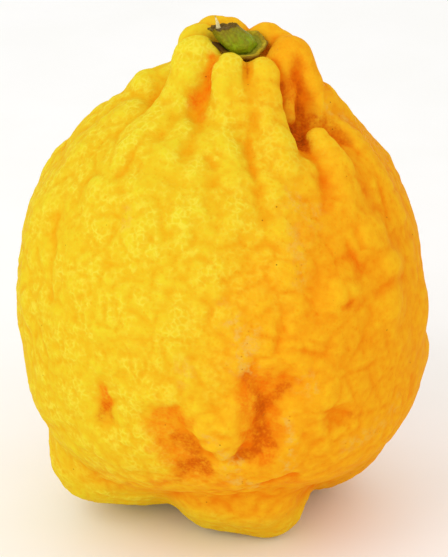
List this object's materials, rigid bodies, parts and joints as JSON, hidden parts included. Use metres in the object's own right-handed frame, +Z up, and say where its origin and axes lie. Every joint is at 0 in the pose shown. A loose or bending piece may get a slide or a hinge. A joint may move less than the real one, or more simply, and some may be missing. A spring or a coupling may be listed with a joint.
{
  "type": "citron fruit",
  "caption": "Whole knobbly yellow citron standing on its nipple, with a collar of knuckles round a cut green stem stub.",
  "frame": {"origin": "on the ground under the middle of the fruit's bounding box", "axes": "+Z up through the stem pit, -Y towards the front with the deepest pits, +X towards the fruit's right as seen from the front"},
  "size_m": [0.1238, 0.1207, 0.162],
  "materials": {
    "rind": "waxy citrus rind, lemon yellow to orange",
    "calyx": "dry matt khaki green",
    "stem": "fresh green bark, browned at the cut"
  },
  "bodies": {
    "root": {"citron_fruit": "rind", "calyx": "calyx", "stem_stub": "stem"}
  },
  "joints": []
}
